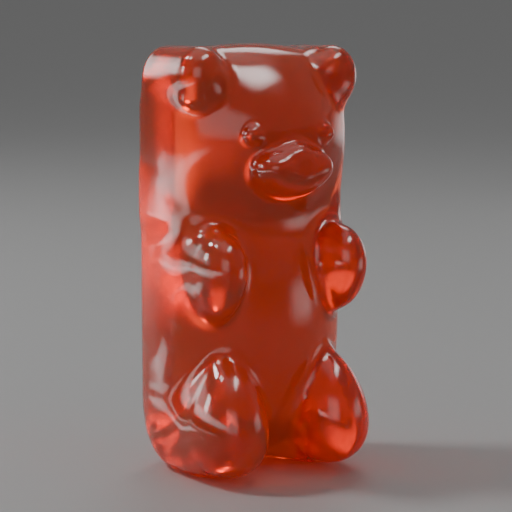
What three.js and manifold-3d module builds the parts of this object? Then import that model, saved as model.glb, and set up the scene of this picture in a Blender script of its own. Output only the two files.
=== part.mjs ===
import * as THREE from "three";
import { mergeVertices } from "three/addons/utils/BufferGeometryUtils.js";
import Module from "manifold-3d";

// Gummy bear: a moulded jelly sweet in one solid piece that stands on its two feet.
// Sizes are in millimetres. The front faces -Y, +Z is up and the ground is at Z = 0.
// The two sides are alike, so a paired feature is given once, at +X.

// Flat back of the sweet: one upright plate for the body and one for the head
const BODY_PLATE = {
  centre: [0, 1.91, 9.3],
  half: [5.1, 2.6, 8.7],
  topCorner: 3.0,
  lowCorner: 3.5,
};
const HEAD_PLATE = {
  centre: [0, 1.6, 16.08],
  half: [5.23, 2.95, 5.66],
  topCorner: 3.2,
  lowCorner: 3.0,
};

// How square the rims of the plates are: 2 would be round
const RIM_POWER = 3;

// The back is cut flat here
const BACK_Y = 4.49;

// Round belly and domed head in front of the plates
const BELLY = { centre: [0, 0.9, 7.85], radii: [4.42, 3.7, 7.2] };
const HEAD_DOME = { centre: [0, 0.46, 17.15], radii: [4.35, 3.95, 4.15] };

// Muzzle: a jaw with two cheek pads and a nose on top
const JAW = { centre: [0, -2.74, 15.55], radii: [1.95, 1.75, 1.3] };
const CHEEK_PAD = { centre: [1.08, -3.3, 15.85], radii: [1.05, 1.18, 0.85] };
const NOSE = { centre: [0, -3.44, 16.4], radii: [0.95, 0.95, 0.7] };

// Small round eyes
const EYE = { centre: [2.1, -2.99, 17.5], radii: [0.5, 0.37, 0.45] };

// Ears, arms and legs: ellipsoids drawn out from back to front
const EAR = { centreX: 3.94, centreZ: 20.3, radii: [1.26, 1.25, 1.52], back: 2.26, front: -0.9 };
const ARM = { centreX: 3.58, centreZ: 10.55, radii: [1.3, 2.0, 2.2], back: -0.24, front: -1.9 };
const LEG = { centreX: 3.05, centreZ: 2.78, radii: [1.97, 2.6, 2.95], back: 1.65, front: -1.78 };

// Share by which an arm or leg narrows from its middle up to its top; an arm widens instead
const ARM_TAPER = -0.11;
const LEG_TAPER = 0.25;

// In front of the heel the foot curves up: rise = curve x distance squared
const FOOT = { heelY: 0.96, curve: 0.06 };

// Width of the soft fillet where each feature melts into the rest
const FILLET = {
  plates: 0.3,
  belly: 1.6,
  head: 1.6,
  pads: 0.45,
  nose: 0.4,
  ears: 0.7,
  muzzle: 0.4,
  eyes: 0.35,
  arms: 1.0,
  legs: 1.0,
};

// Box that is wrapped onto the sweet: its vertices run in from a shell around the sweet
// towards a core inside it, and stop at the surface
const SHELL = { centre: [0, 0, 11], half: [6.2, 8, 12.4] };
const CORE = { centre: [0, 1.9, 11], half: [4.2, 0.5, 9] };
const SEGMENTS = { x: 28, y: 12, z: 54 };
const SURFACE_TOLERANCE = 0.0001;
const MOST_STEPS = 200;
const STEP_SHARE = 0.7;

// Passes that even out the cells of the skin, with smaller cells around the face
const EVENING_PASSES = 80;
const FACE_DETAIL = { centre: [0, -3.15, 16.8], reach: 3.2, gain: 5.0 };
const LONGEST_SLIDE = 0.1;
const SLOPE_STEP = 0.02;
const LEAST_SLOPE = 0.1;

// Block below the ground that cuts the soles flat
const GROUND_BLOCK = { width: 20, depth: 20, height: 4 };

// Red-orange clear jelly with a glossy skin
const JELLY = { colour: 0xa8321a, roughness: 0.15, metalness: 0 };

// Distance to an upright plate whose outline has round corners and whose rim bulges softly from
// one face to the other
function plate({ centre, half, topCorner, lowCorner }) {
  const rim = half[1];
  return (x, y, z) => {
    const up = z - centre[2];
    const corner = up > 0 ? topCorner : lowCorner;
    const overX = Math.abs(x - centre[0]) - (half[0] - corner);
    const overZ = Math.abs(up) - (half[2] - corner);
    const outside = Math.hypot(Math.max(overX, 0), Math.max(overZ, 0));
    const outline = Math.max(outside + Math.min(Math.max(overX, overZ), 0) - corner + rim, 0);
    const fromMiddle = Math.abs(y - centre[1]);
    return (outline ** RIM_POWER + fromMiddle ** RIM_POWER) ** (1 / RIM_POWER) - rim;
  };
}

// Distance to an ellipsoid, close to exact near its surface
function ellipsoid({ centre, radii }) {
  const [rx, ry, rz] = radii;
  return (x, y, z) => {
    const dx = x - centre[0];
    const dy = y - centre[1];
    const dz = z - centre[2];
    const scaled = Math.hypot(dx / rx, dy / ry, dz / rz);
    const slope = Math.hypot(dx / (rx * rx), dy / (ry * ry), dz / (rz * rz));
    return slope > 0 ? (scaled * (scaled - 1)) / slope : -Math.min(rx, ry, rz);
  };
}

// Distance to an ellipsoid drawn out along Y, which may narrow towards its top and may curve up
// in front of a heel
function drawnEllipsoid({ centreX, centreZ, radii, back, front, taper = 0, heelY = 0, curve = 0 }) {
  const section = ellipsoid({ centre: [0, 0, 0], radii });
  return (x, y, z) => {
    const alongY = Math.min(Math.max(y, front), back);
    const ahead = Math.max(heelY - alongY, 0);
    const up = z - curve * ahead * ahead - centreZ;
    const width = 1 - taper * Math.min(Math.max(up / radii[2], -1), 1);
    return section((x - centreX) / width, (y - alongY) / width, up);
  };
}

// Distance to a shape and its mirror image on the other side of the sweet
function paired(shape) {
  return (x, y, z) => shape(Math.abs(x), y, z);
}

// Joins two distances with a fillet of the given width
function softMinimum(a, b, fillet) {
  const overlap = Math.max(fillet - Math.abs(a - b), 0) / fillet;
  return Math.min(a, b) - (overlap * overlap * fillet) / 4;
}

// Joins a first shape with more shapes, each with its own fillet
function joined(first, ...more) {
  return (x, y, z) => {
    let distance = first(x, y, z);
    for (const [shape, fillet] of more) {
      distance = softMinimum(distance, shape(x, y, z), fillet);
    }
    return distance;
  };
}

// Cuts a shape flat at its back
function flatBacked(shape, backY) {
  return (x, y, z) => Math.max(shape(x, y, z), y - backY);
}

// Moves every vertex of a box with sides of 1 onto the surface of a shape
function wrapOnto(box, shape) {
  const position = box.getAttribute("position");
  const vertex = new THREE.Vector3();
  const outer = new THREE.Vector3();
  const inner = new THREE.Vector3();
  const shellCentre = new THREE.Vector3(...SHELL.centre);
  const shellSize = new THREE.Vector3(...SHELL.half).multiplyScalar(2);
  const coreCentre = new THREE.Vector3(...CORE.centre);
  const coreSize = new THREE.Vector3(...CORE.half).multiplyScalar(2);
  for (let i = 0; i < position.count; i += 1) {
    vertex.fromBufferAttribute(position, i);
    outer.copy(vertex).multiply(shellSize).add(shellCentre);
    inner.copy(vertex).multiply(coreSize).add(coreCentre);
    const way = inner.sub(outer).normalize();
    for (let step = 0; step < MOST_STEPS; step += 1) {
      const distance = shape(outer.x, outer.y, outer.z);
      if (distance < SURFACE_TOLERANCE) {
        break;
      }
      outer.addScaledVector(way, distance * STEP_SHARE);
    }
    position.setXYZ(i, outer.x, outer.y, outer.z);
  }
  return box;
}

// Lists for each vertex the vertices at the other ends of its cell sides
function neighboursOf(geometry) {
  const index = geometry.getIndex();
  const neighbours = Array.from({ length: geometry.getAttribute("position").count }, () => new Set());
  for (let i = 0; i < index.count; i += 6) {
    const ring = [0, 1, 4, 2].map((k) => index.getX(i + k));
    ring.forEach((vertex, k) => {
      const next = ring[(k + 1) % ring.length];
      neighbours[vertex].add(next);
      neighbours[next].add(vertex);
    });
  }
  return neighbours.map((set) => [...set]);
}

// Slope of a shape's distance at a point
function slopeAt({ x, y, z }, shape) {
  const h = SLOPE_STEP;
  return new THREE.Vector3(
    shape(x + h, y, z) - shape(x - h, y, z),
    shape(x, y + h, z) - shape(x, y - h, z),
    shape(x, y, z + h) - shape(x, y, z - h),
  ).divideScalar(2 * h);
}

// Evens out the cells of a skin: each vertex slides along the surface to the middle of its neighbours
function evenOut(geometry, shape) {
  const position = geometry.getAttribute("position");
  const neighbours = neighboursOf(geometry);
  const faceCentre = new THREE.Vector3(...FACE_DETAIL.centre);
  for (let pass = 0; pass < EVENING_PASSES; pass += 1) {
    const points = neighbours.map((_, i) => new THREE.Vector3().fromBufferAttribute(position, i));
    const pulls = points.map((point) => {
      const reach = point.distanceTo(faceCentre) / FACE_DETAIL.reach;
      return 1 + FACE_DETAIL.gain * Math.exp(-reach * reach);
    });
    points.forEach((point, i) => {
      const slide = new THREE.Vector3();
      let total = 0;
      for (const j of neighbours[i]) {
        const pull = pulls[j] * point.distanceToSquared(points[j]);
        slide.addScaledVector(points[j], pull);
        total += pull;
      }
      const slope = slopeAt(point, shape);
      const steepness = Math.max(slope.lengthSq(), LEAST_SLOPE);
      slide.divideScalar(total).sub(point);
      slide.addScaledVector(slope, -slide.dot(slope) / steepness).clampLength(0, LONGEST_SLIDE);
      slide.add(point);
      slide.addScaledVector(slope, -shape(slide.x, slide.y, slide.z) / steepness);
      position.setXYZ(i, slide.x, slide.y, slide.z);
    });
  }
  return geometry;
}

// Splits each four-sided cell along the diagonal that lies closer to the surface
function splitCloser(geometry, shape) {
  const position = geometry.getAttribute("position");
  const index = geometry.getIndex();
  const corner = (i) => new THREE.Vector3().fromBufferAttribute(position, i);
  const missAt = (i, j) => {
    const middle = corner(i).add(corner(j)).divideScalar(2);
    return Math.abs(shape(middle.x, middle.y, middle.z));
  };
  for (let i = 0; i < index.count; i += 6) {
    const [a, b, d, c] = [0, 1, 2, 4].map((k) => index.getX(i + k));
    if (missAt(a, c) < missAt(b, d)) {
      [a, b, c, a, c, d].forEach((vertex, k) => index.setX(i + k, vertex));
    }
  }
  return geometry;
}

// Keeps only the positions of a geometry and welds its vertices into one closed skin
function welded(geometry) {
  geometry.deleteAttribute("normal");
  geometry.deleteAttribute("uv");
  return mergeVertices(geometry, SURFACE_TOLERANCE);
}

// Cuts away what lies below the ground
function cutFlat(geometry, wasm) {
  const solidOf = (skin) =>
    new wasm.Manifold(
      new wasm.Mesh({
        numProp: 3,
        vertProperties: new Float32Array(skin.getAttribute("position").array),
        triVerts: new Uint32Array(skin.getIndex().array),
      }),
    );
  const { width, depth, height } = GROUND_BLOCK;
  const block = new THREE.BoxGeometry(width, depth, height).translate(0, 0, -height / 2);
  const mesh = solidOf(geometry).subtract(solidOf(welded(block))).getMesh();
  const cut = new THREE.BufferGeometry();
  cut.setAttribute("position", new THREE.BufferAttribute(mesh.vertProperties, mesh.numProp));
  cut.setIndex(new THREE.BufferAttribute(mesh.triVerts, 1));
  return cut;
}

const muzzle = joined(
  ellipsoid(JAW),
  [paired(ellipsoid(CHEEK_PAD)), FILLET.pads],
  [ellipsoid(NOSE), FILLET.nose],
);
const rounded = joined(
  plate(BODY_PLATE),
  [plate(HEAD_PLATE), FILLET.plates],
  [ellipsoid(BELLY), FILLET.belly],
  [ellipsoid(HEAD_DOME), FILLET.head],
  [paired(drawnEllipsoid(EAR)), FILLET.ears],
  [muzzle, FILLET.muzzle],
  [paired(ellipsoid(EYE)), FILLET.eyes],
  [paired(drawnEllipsoid({ ...ARM, taper: ARM_TAPER })), FILLET.arms],
  [paired(drawnEllipsoid({ ...LEG, ...FOOT, taper: LEG_TAPER })), FILLET.legs],
);
const bear = flatBacked(rounded, BACK_Y);

const wasm = await Module();
wasm.setup();

const box = new THREE.BoxGeometry(1, 1, 1, SEGMENTS.x, SEGMENTS.y, SEGMENTS.z);
const skin = splitCloser(evenOut(welded(wrapOnto(box, bear)), bear), bear);
const jelly = new THREE.MeshStandardMaterial({
  color: JELLY.colour,
  roughness: JELLY.roughness,
  metalness: JELLY.metalness,
});
const gummyBear = new THREE.Mesh(cutFlat(skin, wasm), jelly);
gummyBear.name = "gummy_bear";
gummyBear.geometry.computeVertexNormals();

const group = new THREE.Group();
group.name = "gummy_bear_sweet";
group.add(gummyBear);

export default group;
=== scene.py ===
"""Gummy bear: a soft clear jelly sweet, moulded as a small bear that stands on its two feet.

The sweet is one piece. Its skin is worked out from a few named sizes in millimetres: two upright
plates for the flat back, a round belly, a domed head, ears, a muzzle, eyes, arms and legs, which
melt into each other with soft fillets. The bear faces -Y and stands on the ground at Z = 0.
"""

import logging
import math
from dataclasses import dataclass, field
from enum import Enum
from typing import Protocol

import bpy
import numpy as np
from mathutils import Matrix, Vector


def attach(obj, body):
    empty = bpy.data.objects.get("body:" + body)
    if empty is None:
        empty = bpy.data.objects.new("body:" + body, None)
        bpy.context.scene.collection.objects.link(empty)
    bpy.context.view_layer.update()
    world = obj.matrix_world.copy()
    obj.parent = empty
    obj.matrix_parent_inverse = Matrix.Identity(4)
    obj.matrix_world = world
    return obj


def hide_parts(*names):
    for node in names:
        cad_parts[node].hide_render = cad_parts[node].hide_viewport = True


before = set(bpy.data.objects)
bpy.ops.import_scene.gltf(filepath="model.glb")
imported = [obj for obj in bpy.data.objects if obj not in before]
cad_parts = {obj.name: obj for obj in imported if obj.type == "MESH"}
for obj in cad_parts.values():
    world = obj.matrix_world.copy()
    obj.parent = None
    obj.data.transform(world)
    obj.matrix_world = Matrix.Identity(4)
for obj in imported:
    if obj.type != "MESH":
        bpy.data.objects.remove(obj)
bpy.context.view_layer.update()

LOG = logging.getLogger("gummy_bear")
MM = 0.001
TINY = 1e-9


def direction(azimuth: float, elevation: float) -> Vector:
    """Direction out of the middle of the sweet, of length 1.

    Args:
        azimuth: Angle in degrees, 0 at the front and 90 at the bear's left.
        elevation: Angle in degrees above the level.

    Returns:
        The direction.
    """
    turn, lift = math.radians(azimuth), math.radians(elevation)
    level = math.cos(lift)
    return Vector((math.sin(turn) * level, -math.cos(turn) * level, math.sin(lift)))


class Form(Protocol):
    """Anything that can tell how far points are from its surface."""

    def distance(self, points: np.ndarray) -> np.ndarray:
        """Signed distance of each point, negative inside."""


def soft_minimum(first: np.ndarray, second: np.ndarray, fillet: float) -> np.ndarray:
    """Joins two distances with a soft fillet.

    Args:
        first: Distances to one form.
        second: Distances to the other form.
        fillet: Width of the fillet in millimetres.

    Returns:
        Distances to the two forms joined.
    """
    overlap = np.maximum(fillet - np.abs(first - second), 0.0) / fillet
    return np.minimum(first, second) - overlap * overlap * fillet / 4.0


def soft_maximum(first: np.ndarray, second: np.ndarray, fillet: float) -> np.ndarray:
    """Keeps what two forms share, with a soft edge.

    Args:
        first: Distances to one form.
        second: Distances to the other form.
        fillet: Width of the soft edge in millimetres.

    Returns:
        Distances to the common part.
    """
    return -soft_minimum(-first, -second, fillet)


@dataclass(frozen=True)
class Plate:
    """Upright plate with round corners and a rim that bulges softly from face to face.

    Sizes are in millimetres. The rim would be round with a power of 2 and is squarer above that.
    """

    centre: tuple[float, float, float]
    half: tuple[float, float, float]
    top_corner: float
    low_corner: float
    rim_power: float = 3.0

    def distance(self, points: np.ndarray) -> np.ndarray:
        """Signed distance of each point to the plate.

        Args:
            points: Array of shape (count, 3) in millimetres.

        Returns:
            One distance for each point.
        """
        offset = points - np.array(self.centre)
        corner = np.where(offset[:, 2] > 0, self.top_corner, self.low_corner)
        over_x = np.abs(offset[:, 0]) - (self.half[0] - corner)
        over_z = np.abs(offset[:, 2]) - (self.half[2] - corner)
        outside = np.hypot(np.maximum(over_x, 0.0), np.maximum(over_z, 0.0))
        rim = self.half[1]
        outline = outside + np.minimum(np.maximum(over_x, over_z), 0.0) - corner + rim
        across = np.maximum(outline, 0.0) ** self.rim_power
        through = np.abs(offset[:, 1]) ** self.rim_power
        return (across + through) ** (1.0 / self.rim_power) - rim


@dataclass(frozen=True)
class Ellipsoid:
    """Ellipsoid, alone or as a mirrored pair at both sides of the sweet.

    Sizes are in millimetres. It may be drawn out along Y from back to front, and then curve up in
    front of a heel: rise = curve x distance squared. It may narrow from its middle up to its top
    by a share, the taper.
    """

    centre: tuple[float, float, float]
    radii: tuple[float, float, float]
    paired: bool = False
    back: float = 0.0
    front: float = 0.0
    heel_y: float = 0.0
    curve: float = 0.0
    taper: float = 0.0

    def distance(self, points: np.ndarray) -> np.ndarray:
        """Signed distance of each point, close to exact near the surface.

        Args:
            points: Array of shape (count, 3) in millimetres.

        Returns:
            One distance for each point.
        """
        offset = points - np.array(self.centre)
        if self.paired:
            offset[:, 0] = np.abs(points[:, 0]) - self.centre[0]
        if self.back > self.front:
            along_y = np.clip(points[:, 1], self.front, self.back)
            offset[:, 1] = points[:, 1] - along_y
            offset[:, 2] -= self.curve * np.maximum(self.heel_y - along_y, 0.0) ** 2
            rise = np.clip(offset[:, 2] / self.radii[2], -1.0, 1.0)
            offset[:, :2] /= (1.0 - self.taper * rise)[:, None]
        radii = np.array(self.radii)
        scaled = np.linalg.norm(offset / radii, axis=1)
        slope = np.linalg.norm(offset / (radii * radii), axis=1) + TINY
        return scaled * (scaled - 1.0) / slope


@dataclass(frozen=True)
class Blend:
    """A first form with more forms melted onto it, each with its own fillet in millimetres."""

    first: Form
    more: tuple[tuple[Form, float], ...]

    def distance(self, points: np.ndarray) -> np.ndarray:
        """Signed distance of each point to the joined forms."""
        joined = self.first.distance(points)
        for form, fillet in self.more:
            joined = soft_minimum(joined, form.distance(points), fillet)
        return joined


@dataclass(frozen=True)
class Fillets:
    """Width in millimetres of the soft fillet with which each form melts onto the rest."""

    head_plate: float = 0.3
    belly: float = 1.6
    head_dome: float = 1.6
    ears: float = 0.7
    cheek_pads: float = 0.45
    nose: float = 0.4
    muzzle: float = 0.4
    eyes: float = 0.35
    arms: float = 1.0
    legs: float = 1.0


@dataclass(frozen=True)
class BearForm:
    """Whole bear as a distance, cut flat at its back and under its soles.

    Sizes are in millimetres. The back is the side that was open to the air in the mould.
    """

    body_plate: Plate = Plate((0, 1.91, 9.3), (5.1, 2.6, 8.7), 3.0, 3.5)
    head_plate: Plate = Plate((0, 1.6, 16.08), (5.23, 2.95, 5.66), 3.2, 3.0)
    belly: Ellipsoid = Ellipsoid((0, 0.9, 7.85), (4.42, 3.7, 7.2))
    head_dome: Ellipsoid = Ellipsoid((0, 0.46, 17.15), (4.35, 3.95, 4.15))
    ears: Ellipsoid = Ellipsoid((3.94, 0, 20.3), (1.26, 1.25, 1.52), True, 2.26, -0.9)
    jaw: Ellipsoid = Ellipsoid((0, -2.74, 15.55), (1.95, 1.75, 1.3))
    cheek_pads: Ellipsoid = Ellipsoid((1.08, -3.3, 15.85), (1.05, 1.18, 0.85), True)
    nose: Ellipsoid = Ellipsoid((0, -3.44, 16.4), (0.95, 0.95, 0.7))
    eyes: Ellipsoid = Ellipsoid((2.1, -2.99, 17.5), (0.5, 0.37, 0.45), True)
    arms: Ellipsoid = Ellipsoid(
        (3.58, 0, 10.55), (1.3, 2.0, 2.2), True, back=-0.24, front=-1.9, taper=-0.11
    )
    legs: Ellipsoid = Ellipsoid(
        (3.05, 0, 2.78), (1.97, 2.6, 2.95), True, 1.65, -1.78, heel_y=0.96, curve=0.06, taper=0.25
    )
    fillets: Fillets = Fillets()
    back_y: float = 4.49
    cut_edge: float = 0.12

    def distance(self, points: np.ndarray) -> np.ndarray:
        """Signed distance of each point to the bear.

        Args:
            points: Array of shape (count, 3) in millimetres.

        Returns:
            One distance for each point.
        """
        fillets = self.fillets
        pads_and_nose = ((self.cheek_pads, fillets.cheek_pads), (self.nose, fillets.nose))
        muzzle = Blend(self.jaw, pads_and_nose)
        rounded = Blend(
            self.body_plate,
            (
                (self.head_plate, fillets.head_plate),
                (self.belly, fillets.belly),
                (self.head_dome, fillets.head_dome),
                (self.ears, fillets.ears),
                (muzzle, fillets.muzzle),
                (self.eyes, fillets.eyes),
                (self.arms, fillets.arms),
                (self.legs, fillets.legs),
            ),
        ).distance(points)
        flat_back = soft_maximum(rounded, points[:, 1] - self.back_y, self.cut_edge)
        return soft_maximum(flat_back, -points[:, 2], self.cut_edge)


@dataclass
class Skin:
    """Fine closed mesh of even four-sided cells laid over a form.

    A grid of points is tested against the form. Each grid cell that the surface crosses gets one
    vertex, and each grid line that it crosses gets one face. The vertices are then drawn onto the
    surface and evened out along it.
    """

    form: Form
    low: tuple[float, float, float] = (-5.9, -5.1, -0.5)
    high: tuple[float, float, float] = (5.9, 5.1, 22.6)
    cell: float = 0.13
    settling_passes: int = 3
    evening_passes: int = 6
    slide_share: float = 0.7
    slope_step: float = 0.01
    least_steepness: float = 0.2

    def grid_distances(self, lines: list[np.ndarray]) -> np.ndarray:
        """Distance at every grid point.

        Args:
            lines: The grid's coordinates along X, Y and Z.

        Returns:
            Array of distances with one axis for each direction.
        """
        across = np.stack(np.meshgrid(lines[1], lines[2], indexing="ij"), axis=-1).reshape(-1, 2)
        sheets = []
        for x in lines[0]:
            points = np.column_stack([np.full(len(across), x), across])
            sheets.append(self.form.distance(points).reshape(len(lines[1]), len(lines[2])))
        return np.stack(sheets)

    def slope(self, points: np.ndarray) -> np.ndarray:
        """Slope of the distance at each point.

        Args:
            points: Array of shape (count, 3).

        Returns:
            Array of shape (count, 3).
        """
        columns = []
        for axis in range(3):
            step = np.zeros(3)
            step[axis] = self.slope_step
            rise = self.form.distance(points + step) - self.form.distance(points - step)
            columns.append(rise / (2.0 * self.slope_step))
        return np.stack(columns, axis=1)

    def settled(self, points: np.ndarray) -> np.ndarray:
        """Points drawn onto the surface along the steepest way."""
        slope = self.slope(points)
        steepness = np.maximum((slope * slope).sum(axis=1), self.least_steepness)
        move = slope * (self.form.distance(points) / steepness)[:, None]
        return points - np.clip(move, -self.cell, self.cell)

    def build(self) -> tuple[np.ndarray, np.ndarray]:
        """Builds the mesh.

        Returns:
            Vertices in millimetres and faces as rows of four vertex numbers.
        """
        lines = [np.arange(a, b, self.cell) for a, b in zip(self.low, self.high)]
        distance = self.grid_distances(lines)
        inside = distance < 0
        total = np.zeros([n - 1 for n in distance.shape] + [3])
        count = np.zeros([n - 1 for n in distance.shape])
        crossings = []
        for axis in range(3):
            start = [slice(None)] * 3
            end = [slice(None)] * 3
            start[axis] = slice(None, -1)
            end[axis] = slice(1, None)
            d0, d1 = distance[tuple(start)], distance[tuple(end)]
            crossed = inside[tuple(start)] != inside[tuple(end)]
            share = np.where(crossed, d0 / np.where(crossed, d0 - d1, 1.0), 0.0)
            place = np.stack(np.meshgrid(*lines, indexing="ij"), axis=-1)[tuple(start)]
            place[..., axis] += share * self.cell
            place *= crossed[..., None]
            others = [k for k in range(3) if k != axis]
            for shift_a in (0, 1):
                for shift_b in (0, 1):
                    part = [slice(None)] * 3
                    part[others[0]] = slice(shift_a, shift_a + total.shape[others[0]])
                    part[others[1]] = slice(shift_b, shift_b + total.shape[others[1]])
                    total += place[tuple(part)]
                    count += crossed[tuple(part)]
            crossings.append((crossed, inside[tuple(start)]))
        active = count > 0
        number = np.full(active.shape, -1)
        number[active] = np.arange(active.sum())
        vertices = total[active] / count[active][:, None]
        faces = np.concatenate(
            [self.faces_along(axis, *crossings[axis], number) for axis in range(3)]
        )
        for _ in range(self.settling_passes):
            vertices = self.settled(vertices)
        return self.evened(vertices, faces), faces

    def faces_along(
        self, axis: int, crossed: np.ndarray, inside: np.ndarray, number: np.ndarray
    ) -> np.ndarray:
        """Faces for the grid lines along one axis that the surface crosses.

        Args:
            axis: 0, 1 or 2 for X, Y or Z.
            crossed: Whether each grid line piece is crossed.
            inside: Whether each grid line piece starts inside the form.
            number: Vertex number of each grid cell.

        Returns:
            Rows of four vertex numbers, facing out.
        """
        place = np.argwhere(crossed)
        starts_inside = inside[tuple(place.T)]
        a, b = (axis + 1) % 3, (axis + 2) % 3
        corners = []
        for back_a, back_b in ((1, 1), (0, 1), (0, 0), (1, 0)):
            cell = place.copy()
            cell[:, a] -= back_a
            cell[:, b] -= back_b
            corners.append(number[tuple(cell.T)])
        faces = np.stack(corners, axis=1)
        return np.where(starts_inside[:, None], faces, faces[:, ::-1])

    def evened(self, vertices: np.ndarray, faces: np.ndarray) -> np.ndarray:
        """Slides the vertices along the surface to the middle of their neighbours.

        Args:
            vertices: Vertices that lie on the surface.
            faces: Rows of four vertex numbers.

        Returns:
            The evened vertices.
        """
        start = faces.ravel()
        end = np.roll(faces, -1, axis=1).ravel()
        count = np.bincount(start, minlength=len(vertices)).astype(float)
        for _ in range(self.evening_passes):
            mean = np.stack(
                [np.bincount(start, vertices[end, k], len(vertices)) / count for k in range(3)],
                axis=1,
            )
            slide = mean - vertices
            slope = self.slope(vertices)
            slope /= np.linalg.norm(slope, axis=1)[:, None] + TINY
            slide -= slope * (slide * slope).sum(axis=1)[:, None]
            vertices = self.settled(vertices + slide * self.slide_share)
        return vertices


def linear(hex_colour: str, alpha: float = 1.0) -> tuple[float, float, float, float]:
    """Turns an sRGB hex colour into linear values.

    Args:
        hex_colour: Colour such as "#c83c1e".
        alpha: Opacity.

    Returns:
        Linear red, green, blue and alpha.
    """
    channels = []
    for start in (1, 3, 5):
        value = int(hex_colour[start : start + 2], 16) / 255.0
        channels.append(value / 12.92 if value <= 0.04045 else ((value + 0.055) / 1.055) ** 2.4)
    return (channels[0], channels[1], channels[2], alpha)


def add_node(
    tree: bpy.types.NodeTree,
    kind: str,
    settings: dict[str, object] | None = None,
    sockets: dict[str | int, object] | None = None,
) -> bpy.types.Node:
    """Adds a node with its settings, values and links.

    Args:
        tree: Node tree that gets the node.
        kind: Blender's name of the node type.
        settings: Properties of the node itself.
        sockets: Input socket name or number to a value, or to the output socket that feeds it.

    Returns:
        The new node.
    """
    node = tree.nodes.new(kind)
    for name, value in (settings or {}).items():
        setattr(node, name, value)
    for name, value in (sockets or {}).items():
        socket = node.inputs[name]
        if isinstance(value, bpy.types.NodeSocket):
            tree.links.new(value, socket)
        else:
            socket.default_value = value
    return node


def empty_material(name: str) -> tuple[bpy.types.Material, bpy.types.NodeTree]:
    """Makes a material with an empty node tree.

    Args:
        name: Name of the material.

    Returns:
        The material and its tree.
    """
    material = bpy.data.materials.new(name)
    material.use_nodes = True
    material.node_tree.nodes.clear()
    return material, material.node_tree


@dataclass(frozen=True)
class MouldedGelatineJelly:
    """Gelatine jelly, set in a starch mould and polished with a little oil.

    It is clear but deeply coloured. Light that crosses a thin part comes out bright red-orange,
    and light that crosses the whole body comes out a dark brownish red. The rest of the light is
    scattered just under the skin, which gives the jelly a faint milky haze. The oiled skin is
    glossy and slightly wavy, with faint marks of the powder mould.
    """

    skin: str = "#fca276"
    skin_deep: str = "#f89264"
    through: tuple[float, float, float] = (0.995, 0.34, 0.03)
    density: float = 400.0
    ior: float = 1.45
    metallic: float = 0.0
    roughness: tuple[float, float] = (0.045, 0.09)
    transmission: float = 0.78
    haze_reach_mm: float = 1.5
    haze_spread: tuple[float, float, float] = (1.0, 0.3, 0.15)
    patch_mm: float = 4.0
    patch_detail: float = 3.0
    wave_mm: float = 2.6
    wave_detail: float = 1.0
    grain_mm: float = 0.35
    grain_detail: float = 2.0
    wave_height_mm: float = 0.022
    grain_height_mm: float = 0.002

    def noise(
        self, tree: bpy.types.NodeTree, place: bpy.types.NodeSocket, size_mm: float, detail: float
    ) -> bpy.types.NodeSocket:
        """Adds a soft random pattern.

        Args:
            tree: Node tree that gets the node.
            place: Socket with the place on the sweet.
            size_mm: Size of the pattern's patches in millimetres.
            detail: How many finer layers the pattern has.

        Returns:
            The socket with the pattern.
        """
        sockets = {"Vector": place, "Scale": 1.0 / (size_mm * MM), "Detail": detail}
        return add_node(tree, "ShaderNodeTexNoise", sockets=sockets).outputs["Fac"]

    def build(self) -> bpy.types.Material:
        """Builds the material.

        Returns:
            Material for the whole sweet.
        """
        material, tree = empty_material("Moulded gelatine jelly")
        place = add_node(tree, "ShaderNodeTexCoord").outputs["Object"]
        patches = self.noise(tree, place, self.patch_mm, self.patch_detail)
        # Slow changes of depth in the colour, as jelly is never stirred quite evenly
        tint = add_node(
            tree,
            "ShaderNodeMix",
            {"data_type": "RGBA"},
            {"Factor": patches, 6: linear(self.skin_deep), 7: linear(self.skin)},
        ).outputs[2]
        # Oil that lies thicker in places, so the gloss changes a little
        gloss = add_node(
            tree,
            "ShaderNodeMapRange",
            sockets={"Value": patches, "To Min": self.roughness[0], "To Max": self.roughness[1]},
        ).outputs["Result"]
        waves = self.noise(tree, place, self.wave_mm, self.wave_detail)
        grain = self.noise(tree, place, self.grain_mm, self.grain_detail)
        # Slow waves that the soft jelly keeps from its mould, seen in the highlights
        wavy = add_node(
            tree,
            "ShaderNodeBump",
            sockets={"Strength": 1.0, "Distance": self.wave_height_mm * MM, "Height": waves},
        ).outputs["Normal"]
        # Powder grain is coarser here than the starch that makes it, so that it shows
        grainy = add_node(
            tree,
            "ShaderNodeBump",
            sockets={
                "Strength": 1.0,
                "Distance": self.grain_height_mm * MM,
                "Height": grain,
                "Normal": wavy,
            },
        ).outputs["Normal"]
        surface = add_node(
            tree,
            "ShaderNodeBsdfPrincipled",
            sockets={
                "Base Color": tint,
                "Roughness": gloss,
                "Normal": grainy,
                "IOR": self.ior,
                "Metallic": self.metallic,
                "Transmission Weight": self.transmission,
                "Subsurface Weight": 1.0,
                "Subsurface Radius": self.haze_spread,
                "Subsurface Scale": self.haze_reach_mm * MM,
            },
        ).outputs["BSDF"]
        body = add_node(
            tree,
            "ShaderNodeVolumeAbsorption",
            sockets={"Color": (*self.through, 1.0), "Density": self.density},
        ).outputs["Volume"]
        add_node(tree, "ShaderNodeOutputMaterial", sockets={"Surface": surface, "Volume": body})
        return material


@dataclass(frozen=True)
class PaintedFloor:
    """Matt pale paint on the studio floor, even and without marks."""

    colour: str = "#b8b8b8"
    roughness: float = 0.6

    def build(self) -> bpy.types.Material:
        """Builds the material.

        Returns:
            Material for the studio floor.
        """
        material, tree = empty_material("Matt studio paint")
        surface = add_node(
            tree,
            "ShaderNodeBsdfPrincipled",
            sockets={"Base Color": linear(self.colour), "Roughness": self.roughness},
        ).outputs["BSDF"]
        add_node(tree, "ShaderNodeOutputMaterial", sockets={"Surface": surface})
        return material


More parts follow.
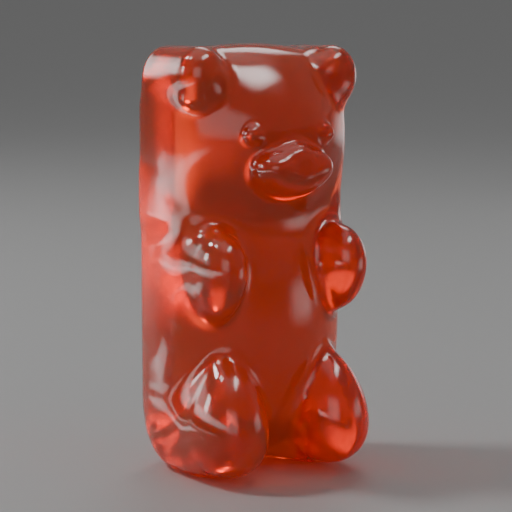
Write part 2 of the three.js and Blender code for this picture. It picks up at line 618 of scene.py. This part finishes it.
def mesh_object(
    name: str, vertices: np.ndarray, faces: list[tuple[int, ...]]
) -> bpy.types.Object:
    """Makes a smooth-shaded mesh object.

    Args:
        name: Name of the object and of its mesh.
        vertices: Vertices in metres.
        faces: Rows of vertex numbers.

    Returns:
        The object, linked to the scene.
    """
    mesh = bpy.data.meshes.new(name)
    mesh.from_pydata(vertices.tolist(), [], faces)
    mesh.validate()
    mesh.update()
    mesh.polygons.foreach_set("use_smooth", np.ones(len(mesh.polygons), dtype=bool))
    made = bpy.data.objects.new(name, mesh)
    bpy.context.scene.collection.objects.link(made)
    return made


@dataclass
class GummyBear:
    """The sweet itself, one piece of jelly."""

    form: BearForm = field(default_factory=BearForm)
    finish: MouldedGelatineJelly = field(default_factory=MouldedGelatineJelly)

    def build(self) -> bpy.types.Object:
        """Builds and dresses the sweet.

        Returns:
            The finished piece, which stands for its CAD node.
        """
        vertices, faces = Skin(self.form).build()
        bear = mesh_object("jelly_bear", vertices * MM, faces.tolist())
        bear.data.materials.append(self.finish.build())
        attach(bear, "root")
        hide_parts("gummy_bear")
        LOG.info("%s: %d faces", bear.name, len(faces))
        return bear


class LightRole(Enum):
    """What each studio light is for."""

    OVERHEAD = "Overhead softbox"
    TOP_BACK = "Top back softbox"
    BACK = "Back softbox"
    BACK_GLOW = "Back glow"
    KEY = "Key window"
    LOW_KEY = "Low side window"
    HIGH_KEY = "High side window"
    SIDE = "Side softbox"
    HAZE_CARD = "Haze card"
    SIDE_CARD = "Side card"
    FOOT_CARD = "Foot card"
    BELLY_CARD = "Belly card"
    RIM = "Rim softbox"
    RIM_SPOT = "Rim spot"
    FRONT_GLOW = "Front glow"
    TOP_GLOW = "Top glow"
    FRONT = "Front panel"
    CEILING = "Ceiling glow"


@dataclass(frozen=True)
class SoftLight:
    """Rectangular softbox or glowing card round the sweet.

    It stands in a direction seen from the middle of the sweet, where azimuth 0 is the front and
    azimuth 90 is the bear's left, and faces the sweet or lies flat and faces up. Lengths are in
    metres, angles in degrees, and brightness is the radiance of its face. The face fades out
    towards its rim over a share of its size, the edge. The other fields say whether it lights
    the floor, is seen through the jelly, and is mirrored in the skin.
    """

    role: LightRole
    azimuth: float
    elevation: float
    distance: float
    size: tuple[float, float]
    brightness: float
    on_floor: bool = False
    seen_through: bool = True
    mirrored: bool = True
    lies_flat: bool = False
    edge: float = 0.08

    def build(self, middle: Vector) -> bpy.types.Object:
        """Builds the light.

        Args:
            middle: Middle of the sweet, which the light faces.

        Returns:
            The light object.
        """
        way = direction(self.azimuth, self.elevation)
        data = bpy.data.lights.new(self.role.value, "AREA")
        data.shape = "RECTANGLE"
        data.size, data.size_y = self.size
        data.energy = self.brightness * math.pi * self.size[0] * self.size[1]
        self.soften(data)
        lamp = bpy.data.objects.new(self.role.value, data)
        lamp.location = middle + way * self.distance
        facing = Vector((0.0, 0.0, 1.0)) if self.lies_flat else -way
        lamp.rotation_euler = facing.to_track_quat("-Z", "Y").to_euler()
        lamp.visible_camera = False
        lamp.visible_diffuse = self.on_floor
        lamp.visible_transmission = self.seen_through
        lamp.visible_glossy = self.mirrored
        bpy.context.scene.collection.objects.link(lamp)
        return lamp

    def soften(self, data: bpy.types.AreaLight) -> None:
        """Makes the light's face fade out towards its rim.

        Args:
            data: The light that gets the nodes.
        """
        data.use_nodes = True
        tree = data.node_tree
        tree.nodes.clear()
        place = add_node(tree, "ShaderNodeNewGeometry").outputs["Parametric"]
        split = add_node(tree, "ShaderNodeSeparateXYZ", sockets={0: place})
        fades = []
        for axis in ("X", "Y"):
            # Distance to the nearer rim, as a share of the face's size
            inset = add_node(
                tree, "ShaderNodeMath", {"operation": "PINGPONG"}, {0: split.outputs[axis], 1: 0.5}
            ).outputs[0]
            fades.append(
                add_node(
                    tree,
                    "ShaderNodeMapRange",
                    {"interpolation_type": "SMOOTHSTEP"},
                    {"Value": inset, "From Max": self.edge},
                ).outputs["Result"]
            )
        strength = add_node(
            tree, "ShaderNodeMath", {"operation": "MULTIPLY"}, {0: fades[0], 1: fades[1]}
        ).outputs[0]
        glow = add_node(tree, "ShaderNodeEmission", sockets={"Strength": strength}).outputs[0]
        add_node(tree, "ShaderNodeOutputLight", sockets={"Surface": glow})


@dataclass
class Studio:
    """Pale dish-shaped floor with soft lights round a small object. Sizes are in metres."""

    aim: tuple[float, float, float] = (0.0, 0.0, 0.011)
    flat_radius: float = 0.3
    rim_radius: float = 1.4
    curve_radius: float = 2.5
    rings: int = 24
    sectors: int = 96
    world: str = "#ffffff"
    world_strength: float = 0.24
    lights: tuple[SoftLight, ...] = (
        SoftLight(
            LightRole.OVERHEAD, 30, 66, 0.25, (0.22, 0.075), 16.0, edge=0.4, seen_through=False
        ),
        SoftLight(LightRole.TOP_BACK, 140, 48, 0.25, (0.16, 0.1), 5.0, edge=0.3),
        SoftLight(LightRole.BACK, -162, 17, 0.2, (0.12, 0.1), 4.0, edge=0.2, seen_through=False),
        SoftLight(
            LightRole.BACK_GLOW, -145, 10, 0.2, (0.18, 0.09), 2.0, edge=0.3, mirrored=False
        ),
        SoftLight(
            LightRole.KEY, -130, 48, 0.25, (0.05, 0.04), 38.0, on_floor=True, seen_through=False
        ),
        SoftLight(LightRole.LOW_KEY, -115, 20, 0.2, (0.04, 0.05), 16.0, seen_through=False),
        SoftLight(LightRole.HIGH_KEY, -103, 58, 0.2, (0.045, 0.035), 16.0, seen_through=False),
        SoftLight(
            LightRole.SIDE, -132, 16, 0.2, (0.28, 0.078), 2.5, edge=0.25, seen_through=False
        ),
        SoftLight(
            LightRole.HAZE_CARD, -98, -3.2, 0.03, (0.08, 0.0058), 4.5,
            edge=0.3,
            seen_through=False,
        ),
        SoftLight(
            LightRole.SIDE_CARD, -123.2, -6.1, 0.101, (0.072, 0.15), 2.5,
            edge=0.15,
            seen_through=False,
            lies_flat=True,
        ),
        SoftLight(
            LightRole.FOOT_CARD, -132.3, -19.8, 0.0316, (0.02, 0.015), 3.0,
            edge=0.25,
            seen_through=False,
            lies_flat=True,
        ),
        SoftLight(LightRole.BELLY_CARD, 52, -5, 0.03, (0.026, 0.014), 2.2, edge=0.4),
        SoftLight(LightRole.FRONT_GLOW, 33, 2, 0.1, (0.05, 0.045), 2.5, edge=0.4, mirrored=False),
        SoftLight(LightRole.TOP_GLOW, 35, 50, 0.2, (0.12, 0.09), 2.0, edge=0.3, mirrored=False),
        SoftLight(LightRole.RIM, 116, 3, 0.15, (0.1, 0.048), 1.5, edge=0.35),
        SoftLight(LightRole.RIM_SPOT, 112, 9, 0.15, (0.04, 0.014), 9.0, edge=0.3, mirrored=False),
        SoftLight(LightRole.FRONT, -40, 17, 0.3, (0.25, 0.23), 1.9, edge=0.3),
        SoftLight(LightRole.CEILING, 0, 90, 0.5, (0.8, 0.8), 1.0, edge=0.3, seen_through=False),
    )

    def build(self) -> None:
        """Builds the floor, the lights and the world."""
        self.build_floor()
        for light in self.lights:
            light.build(Vector(self.aim))
            LOG.info("Light: %s", light.role.value)
        world = bpy.data.worlds.new("Studio air")
        world.use_nodes = True
        world.node_tree.nodes.clear()
        air = add_node(
            world.node_tree,
            "ShaderNodeBackground",
            sockets={"Color": linear(self.world), "Strength": self.world_strength},
        ).outputs["Background"]
        add_node(world.node_tree, "ShaderNodeOutputWorld", sockets={"Surface": air})
        bpy.context.scene.world = world

    def build_floor(self) -> bpy.types.Object:
        """Builds the floor, flat under the sweet and curving up slowly all round it.

        Returns:
            The floor.
        """
        vertices = [(0.0, 0.0, 0.0)]
        faces = []
        for ring in range(self.rings + 1):
            radius = self.flat_radius + (self.rim_radius - self.flat_radius) * ring / self.rings
            beyond = radius - self.flat_radius
            height = self.curve_radius - math.sqrt(self.curve_radius**2 - beyond**2)
            for sector in range(self.sectors):
                angle = math.tau * sector / self.sectors
                vertices.append((radius * math.cos(angle), radius * math.sin(angle), height))
                after = (sector + 1) % self.sectors
                if ring == 0:
                    faces.append((0, 1 + sector, 1 + after))
                    continue
                inner = 1 + (ring - 1) * self.sectors
                outer = inner + self.sectors
                faces.append((inner + sector, outer + sector, outer + after, inner + after))
        floor = mesh_object("studio_floor", np.array(vertices), faces)
        floor.data.materials.append(PaintedFloor().build())
        return floor


@dataclass(frozen=True)
class PhotoCamera:
    """Camera that sees the sweet as the photograph does.

    Lengths are in metres and angles in degrees.
    """

    azimuth: float = -32.0
    elevation: float = 7.4
    distance: float = 0.091
    aim: tuple[float, float, float] = (0.00025, 0.00056, 0.011)
    focal_pixels: float = 1760.0
    frame_pixels: float = 512.0
    sensor_mm: float = 36.0
    nearest: float = 0.001
    farthest: float = 10.0

    def build(self) -> bpy.types.Object:
        """Builds the camera and makes it the scene's own.

        Returns:
            The camera object.
        """
        way = direction(self.azimuth, self.elevation)
        data = bpy.data.cameras.new("Photo camera")
        data.sensor_width = self.sensor_mm
        data.lens = self.sensor_mm * self.focal_pixels / self.frame_pixels
        data.clip_start = self.nearest
        data.clip_end = self.farthest
        camera = bpy.data.objects.new("Photo camera", data)
        camera.location = Vector(self.aim) + way * self.distance
        camera.rotation_euler = (-way).to_track_quat("-Z", "Y").to_euler()
        bpy.context.scene.collection.objects.link(camera)
        bpy.context.scene.camera = camera
        return camera


def main() -> None:
    """Builds the sweet, the studio and the camera."""
    logging.basicConfig(level=logging.INFO, format="%(name)s: %(message)s")
    GummyBear().build()
    Studio().build()
    PhotoCamera().build()


if __name__ == "__main__":
    main()
